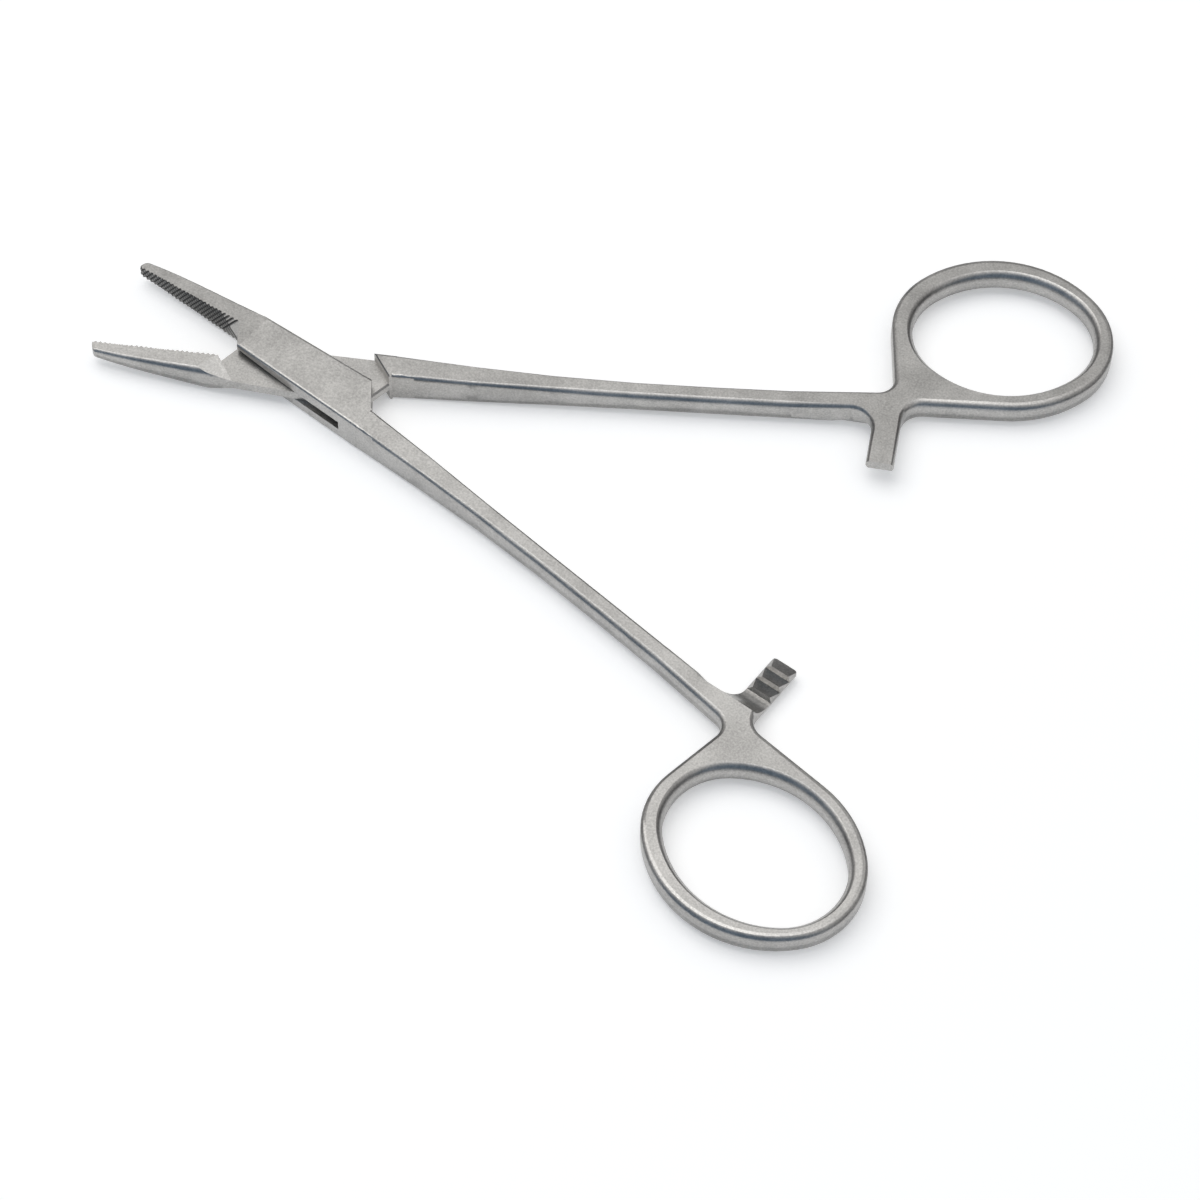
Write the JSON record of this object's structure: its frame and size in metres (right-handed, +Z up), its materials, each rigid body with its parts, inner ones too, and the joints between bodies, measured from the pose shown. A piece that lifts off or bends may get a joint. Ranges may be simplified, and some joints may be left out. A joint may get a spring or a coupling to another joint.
{
  "type": "surgical needle holder",
  "caption": "Steel needle holder with a box lock, cross-cut jaws, a ratchet between the shanks and two finger rings, shown open.",
  "frame": {"origin": "on the pivot axis, in the flat underside of the box lock that the instrument rests on", "axes": "+X from the jaw tips towards the finger rings, along the line that halves the opening angle; +Z up, along the pivot axis; the female half's finger ring is at negative Y"},
  "size_m": [0.1282, 0.115, 0.0052],
  "materials": {
    "satin_steel": "satin"
  },
  "bodies": {
    "female_half": {"female_half": "satin_steel", "pivot_pin": "satin_steel"},
    "male_half": {"male_half": "satin_steel"}
  },
  "joints": [
    {"name": "box_lock", "type": "hinge", "parent": "female_half", "child": "male_half", "pos_m": [0, 0, 0.0026], "axis": [0, 0, 1], "range_deg": [-27.3, 32.7]}
  ]
}
